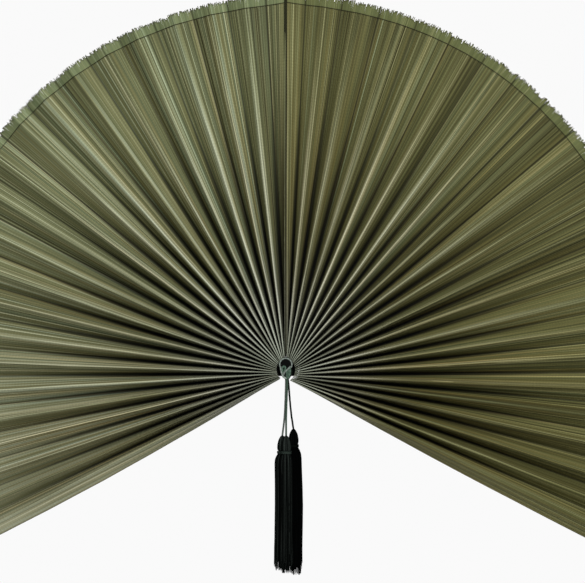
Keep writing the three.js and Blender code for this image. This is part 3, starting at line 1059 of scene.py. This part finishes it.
# Strands of the knot by finish (sage, green, dark): shares of its half width, half depth and height
KNOT_STRANDS = [
    (0, [
        (-0.86, 0, 0.04), (-0.86, -0.4, 0.25), (-0.8, -0.55, 0.5),
        (-0.68, -0.5, 0.74), (-0.45, -0.4, 0.9), (-0.2, -0.2, 1),
    ]),
    (0, [
        (0.85, -0.1, 0.03), (0.62, -0.6, 0.14), (0.3, -0.9, 0.27),
        (-0.05, -1, 0.4), (-0.35, -0.85, 0.54), (-0.5, -0.5, 0.7),
    ]),
    (0, [(-0.66, -0.4, 0.8), (-0.5, -0.65, 0.88), (-0.25, -0.6, 0.95), (0, -0.3, 1)]),
    (1, [
        (-0.55, -0.5, 0.55), (-0.6, -0.6, 0.25), (-0.45, -0.6, 0.06), (-0.2, -0.62, 0),
        (-0.02, -0.7, 0.1), (-0.12, -0.8, 0.3), (-0.3, -0.7, 0.5),
    ]),
    (1, [(0.55, -0.5, 0.12), (0.5, -0.8, 0.34), (0.42, -0.8, 0.55), (0.3, -0.6, 0.78), (0.08, -0.3, 1)]),
    (1, [(0.2, -0.6, 0.25), (0.15, -0.9, 0.46), (0.1, -0.8, 0.66), (0.05, -0.5, 0.85), (-0.02, -0.2, 1)]),
    (1, [(0.75, -0.3, 0.12), (0.74, -0.6, 0.36), (0.64, -0.6, 0.6), (0.44, -0.4, 0.82), (0.16, -0.2, 1)]),
    # The dark strands: the dark cord's own, laid also in the gaps and on the right side of the knot as
    # painted shade
    (2, [(0.9, 0.1, 0.12), (0.95, -0.2, 0.36), (0.84, -0.3, 0.6), (0.6, -0.2, 0.82), (0.25, -0.1, 1)]),
    (2, [(-0.3, -0.2, 0.3), (-0.28, -0.35, 0.55), (-0.22, -0.3, 0.75), (-0.05, -0.1, 1)]),
    (2, [(0.5, 0.1, 0.2), (0.6, -0.15, 0.5), (0.42, -0.15, 0.78), (0.15, 0, 1)]),
    (2, [(-0.6, 0.3, 0.1), (-0.55, 0.2, 0.5), (-0.4, 0.1, 0.75), (0, 0.1, 1)]),
    (2, [(-0.1, 0.3, 0.1), (-0.05, 0, 0.5), (0, -0.1, 0.78), (0.1, 0, 1)]),
]


class FAN_OT_hanger(bpy.types.Operator):
    """Make the loop round the peg and the knot that gathers the cords"""

    bl_idname = "fan.hanger"
    bl_label = "Loop and knot"

    def execute(self, context):
        sizes, finishes = context.scene.fan_hanger, context.scene.fan_finishes
        tones = {"Sage": finishes.cord_sage, "Green": finishes.cord_green, "Dark": finishes.cord_dark}
        materials = [
            fibre(f"{name} cord", tone, scaled(tone, 1.8), 0.6, twist=36.0) for name, tone in tones.items()
        ]
        middle, foot = hanger_origin(sizes)
        ring = [
            middle + sizes.loop_radius * Vector((math.sin(angle), 0, math.cos(angle)))
            for angle in [2 * math.pi * share for share in shares(96)]
        ]
        loop = Piece()
        loop.add_tube(ring, sizes.loop_cord, sides=15, lobes=PLIES, twist=0.0036, loop=True)
        obj = loop.build("cord_loop", materials[:1])
        stands_for(obj, "hanger", "hanging_loop")
        self.knot(sizes, materials, foot)
        return {"FINISHED"}

    def knot(self, sizes, materials, foot):
        """Strands that hang from the loop, cross on the front of the knot and run out at its foot."""
        low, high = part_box("hanger_knot")
        wide, tall, deep = (high.x - low.x) / 2, high.z - low.z, (high.y - low.y) / 2
        top = Vector((0, foot.y, high.z))
        knot = Piece()
        for number, (finish, strand) in enumerate(KNOT_STRANDS):
            points = [top + Vector((a * wide + c * foot.x, b * deep, -c * tall)) for a, b, c in strand]
            knot.add_tube(
                smooth_path(points, 8), sizes.knot_strand, sides=12, number=number,
                lobes=PLIES, twist=0.0045, finish=finish,
            )
        obj = knot.build("cord_knot", materials)
        stands_for(obj, "hanger", "hanger_knot")


# Outline of a tassel's head: share of its length down, share of its radius
HEAD_OUTLINE = [
    (0, 0.17), (0.05, 0.36), (0.13, 0.52), (0.24, 0.69), (0.4, 0.85), (0.6, 0.97), (0.8, 1), (0.92, 0.95),
]
HEAD_NUMBER, SKIRT_NUMBER = 20, 100  # of the first strand in a head and in a skirt
SKIRT_OPENS = 0.09  # share of the way down at which a skirt has its full width


class FAN_OT_tassels(bpy.types.Operator):
    """Make the drop cords with their tassels and bindings"""

    bl_idname = "fan.tassels"
    bl_label = "Cords and tassels"

    def execute(self, context):
        sizes, finishes = context.scene.fan_hanger, context.scene.fan_finishes
        tones = {"left": finishes.cord_sage, "middle": finishes.cord_green, "right": finishes.cord_dark}
        _, foot = hanger_origin(sizes)
        gap = foot.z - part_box("left_drop_cord")[1].z
        for side, route in CORD_ROUTES.items():
            start = foot - Vector((0, 0, gap))
            path = smooth_path([start + Vector(point) * MM for point in route], 12)
            place = Matrix.Translation(path[-1]) @ Matrix.Rotation(math.radians(TASSEL_LEANS[side]), 4, "Y")
            name, (share, wear_and_shade) = side.capitalize(), TASSEL_WEAR_AND_SHADE[side]
            # The right tassel's strands and binding are darkened as painted shade
            light, thread = scaled(finishes.tassel_light, wear_and_shade), scaled(finishes.binding, wear_and_shade)
            cord = fibre(f"{name} cord", scaled(tones[side], 0.7), tones[side], 0.6)
            skirt = fibre(f"{name} skirt", finishes.tassel, light, share)
            head = fibre(f"{name} head", finishes.tassel, light, 0.85)
            binding = fibre(f"{name} binding", thread, scaled(thread, 1.5), 0.5, twist=60.0)
            self.drop_cord(side, path, sizes, cord)
            self.tassel(side, place, sizes, [skirt, head])
            self.binding(side, place, sizes, binding)
        return {"FINISHED"}

    def drop_cord(self, side, path, sizes, material):
        cord = Piece()
        cord.add_tube(path, sizes.drop_cord, sides=15, lobes=PLIES, twist=0.004)
        obj = cord.build(f"{side}_cord", [material])
        stands_for(obj, f"{side}_drop", f"{side}_drop_cord")
        path_length(path)

    def tassel(self, side, place, sizes, materials):
        chance = random.Random(f"{side} tassel")
        tassel = Piece()
        self.add_head(tassel, sizes)
        waist = sizes.head + sizes.waist
        core = [self.hang(side, waist, t, 0.9 * sizes.tassel) for t in (0, 0.07, 0.3, 0.6, 1)]
        core = [Vector((0, 0, -sizes.head * 0.8)), *core]
        tassel.add_tube(core, lambda t: sizes.neck_radius * (0.9 - 0.3 * t), sides=12, number=1)
        for i in range(sizes.strands):
            self.add_strand(tassel, side, sizes, waist, i, chance)
        obj = tassel.build(f"{side}_tassel_strands", materials)
        obj.data.transform(place)
        stands_for(obj, f"{side}_drop", f"{side}_tassel")

    def opened(self, t):
        """How far a skirt has opened out at a share of the way down."""
        share = min(1, t / SKIRT_OPENS)
        return share * (2 - share)

    def hang(self, side, waist, t, end):
        """The middle of the skirt at a share of the way down to end; its neighbours push it aside."""
        aside = SKIRT_PUSH[side] * self.opened(t) + SKIRT_BELLY[side] * math.sin(math.pi * t) ** 2
        return Vector((aside * MM, 0, 0.5 * MM - waist - t * (end - waist)))

    def add_head(self, tassel, sizes):
        """Threads laid over the head from its top to the waist."""
        threads, across, groove = 34, 4, 0.055
        rows = []
        for down, share in [*HEAD_OUTLINE, (1.0, sizes.neck_radius / sizes.head_radius)]:
            row = []
            for j in range(threads * across):
                angle = 2 * math.pi * j / (threads * across) + 0.12 * down
                relief = 1 - groove * abs(math.sin(math.pi * j / across))
                radius = sizes.head_radius * share * (1 + groove - relief * groove) * relief
                point = Vector((radius * math.cos(angle), radius * math.sin(angle), -down * sizes.head))
                row.append((point, HEAD_NUMBER + j // across + 0.5, down * sizes.head))
            rows.append(row[::-1])
        base = tassel.add_grid(rows, closed=True, finish=1)
        tassel.add_cap(base, threads * across, finish=1, flip=True)

    def add_strand(self, tassel, side, sizes, waist, number, chance):
        angle = chance.uniform(0, 2 * math.pi)
        share = math.sqrt(chance.uniform(0.25, 1))
        neck, skirt = sizes.neck_radius * share * 0.96, sizes.skirt_radius * share
        drift, wave, phase = chance.gauss(0, 0.16), chance.uniform(0.1, 0.45) * MM, chance.uniform(0, 6)
        end = sizes.tassel * TASSEL_LENGTHS[side] - sizes.ragged * (chance.random() ** 1.6 + 0.9 * share**8)
        path = []
        for t in (0, 0.03, 0.06, 0.1, 0.18, 0.34, 0.5, 0.72, 0.88, 1):
            radius = neck + (skirt - neck) * self.opened(t) + wave * t * math.sin(5 * t + phase)
            turn = angle + drift * t
            spread = Vector((radius * math.cos(turn), radius * math.sin(turn), 0))
            path.append(self.hang(side, waist, t, end) + spread)
        number += SKIRT_NUMBER
        tassel.add_tube(path, lambda t: sizes.strand * (1 - 0.35 * t), sides=4, number=number)

    def binding(self, side, place, sizes, material):
        """One thread wound closely round the waist."""
        turns, steps, radius = 4, 28, 0.36 * MM
        top = sizes.head + radius
        path = []
        for i in range(turns * steps + 1):
            angle = 2 * math.pi * i / steps
            down = top + (sizes.waist - 2 * radius) * i / (turns * steps)
            reach = sizes.neck_radius + radius + 0.3 * MM
            path.append(Vector((reach * math.cos(angle), reach * math.sin(angle), -down)))
        wound = Piece()
        wound.add_tube(path, radius, sides=8, number=2)
        obj = wound.build(f"{side}_binding", [material])
        obj.data.transform(place)
        stands_for(obj, f"{side}_drop", f"{side}_tassel_binding")


# Stage


CORD_FRONT = -0.025  # Y of the cords, on which the camera is set
LIGHT_AIM = Vector((0, 0, 0.08))
KEY_PLACE, BACK_PLACE = Vector((0.45, -1.9, 0.8)), Vector((-0.45, 1.9, 0.8))


class FAN_OT_stage(bpy.types.Operator):
    """Make the camera, the lights, the white surroundings and the pale floor"""

    bl_idname = "fan.stage"
    bl_label = "Stage"

    def execute(self, context):
        stage, finishes, scene = context.scene.fan_stage, context.scene.fan_finishes, context.scene
        scene.view_settings.view_transform = "Standard"
        camera = bpy.data.objects.new("camera", bpy.data.cameras.new("camera"))
        camera.data.sensor_width = 36
        camera.data.lens = camera.data.sensor_width * stage.distance / stage.view_width
        away = Vector((math.sin(stage.aside), -math.cos(stage.aside), 0))
        camera.location = Vector((stage.view_x, CORD_FRONT, stage.view_z)) + away * stage.distance
        camera.rotation_euler = (math.pi / 2, 0, stage.aside)
        scene.collection.objects.link(camera)
        scene.camera = camera
        self.light(scene, "key", KEY_PLACE, stage.key_power, stage.light_size)
        self.light(scene, "back", BACK_PLACE, stage.back_power, stage.light_size)
        self.surroundings(scene, stage.fill, stage.white)
        self.floor(stage, finishes)
        return {"FINISHED"}

    def light(self, scene, name, place, power, size):
        lamp = bpy.data.lights.new(name, "AREA")
        lamp.energy, lamp.size = power, size
        obj = bpy.data.objects.new(name, lamp)
        obj.location = place
        obj.rotation_mode = "QUATERNION"
        obj.rotation_quaternion = (LIGHT_AIM - place).to_track_quat("-Z", "Y")
        scene.collection.objects.link(obj)

    def surroundings(self, scene, fill, white):
        """White where it is seen, also in gloss, and a soft fill for everything else."""
        world = bpy.data.worlds.new("white surroundings")
        world.use_nodes = True
        scene.world = world
        tree = Tree(world.node_tree)
        seen = tree.node("ShaderNodeLightPath", {}, {}, "Is Camera Ray")
        for ray in ("Is Glossy Ray", "Is Transmission Ray"):
            seen = seen.math("MAXIMUM", tree.node("ShaderNodeLightPath", {}, {}, ray))
        strength = seen * (white - fill) + fill
        background = tree.node("ShaderNodeBackground", {}, {"Color": (1, 1, 1, 1), "Strength": strength})
        tree.node("ShaderNodeOutputWorld", {}, {"Surface": background})

    def floor(self, stage, finishes):
        count, core = 64, 0.02
        disc = Piece()
        ring = []
        for share in shares(count)[:-1]:
            angle = 2 * math.pi * share
            ring.append(stage.floor_radius * Vector((math.cos(angle), math.sin(angle), 0)))
        disc.add_grid([[(times * point, 0, 0) for point in ring] for times in (1, core)], closed=True)
        disc.add_cap(count, count)
        material, tree = new_material("Pale floor")
        at = tree.node("ShaderNodeTexCoord", {}, {}, "Object")
        mottle = tree.node("ShaderNodeTexNoise", {}, {"Vector": at, "Scale": 30.0})
        base = tree.mix(mottle * 0.1, rgba(finishes.floor), (1, 1, 1, 1))
        tree.surface({"Base Color": base, "Roughness": 0.8 + mottle * 0.1}, mottle, 0.1 * MM)
        floor = disc.build("floor", [material])
        floor.location.z = -stage.floor_drop


OPERATORS = (
    FAN_OT_stage, FAN_OT_tassels, FAN_OT_hanger, FAN_OT_peg,
    FAN_OT_mats, FAN_OT_folds, FAN_OT_rim, FAN_OT_stringing,
)
GROUPS = {
    "fan_leaf": LeafSizes, "fan_hanger": HangerSizes, "fan_finishes": FanFinishes, "fan_stage": StageSizes,
}


class FAN_PT_pieces(bpy.types.Panel):
    """Lists the pieces of the fan and their sizes"""

    bl_idname = "FAN_PT_pieces"
    bl_label = "Bamboo wall fan"
    bl_space_type = "VIEW_3D"
    bl_region_type = "UI"
    bl_category = "Wall fan"

    def draw(self, context):
        for operator in OPERATORS:
            self.layout.operator(operator.bl_idname)
        for name in GROUPS:
            box = self.layout.box()
            group = getattr(context.scene, name)
            for item in type(group).__annotations__:
                box.prop(group, item)


def register():
    for cls in (*GROUPS.values(), *OPERATORS, FAN_PT_pieces):
        bpy.utils.register_class(cls)
    for name, group in GROUPS.items():
        setattr(bpy.types.Scene, name, PointerProperty(type=group))


def unregister():
    for name in GROUPS:
        delattr(bpy.types.Scene, name)
    for cls in reversed((*GROUPS.values(), *OPERATORS, FAN_PT_pieces)):
        bpy.utils.unregister_class(cls)


def main():
    register()
    bpy.ops.fan.stage()
    bpy.ops.fan.tassels()
    bpy.ops.fan.hanger()
    bpy.ops.fan.peg()
    bpy.ops.fan.mats()
    bpy.ops.fan.folds()
    bpy.ops.fan.rim()
    bpy.ops.fan.stringing()


if __name__ == "__main__":
    main()
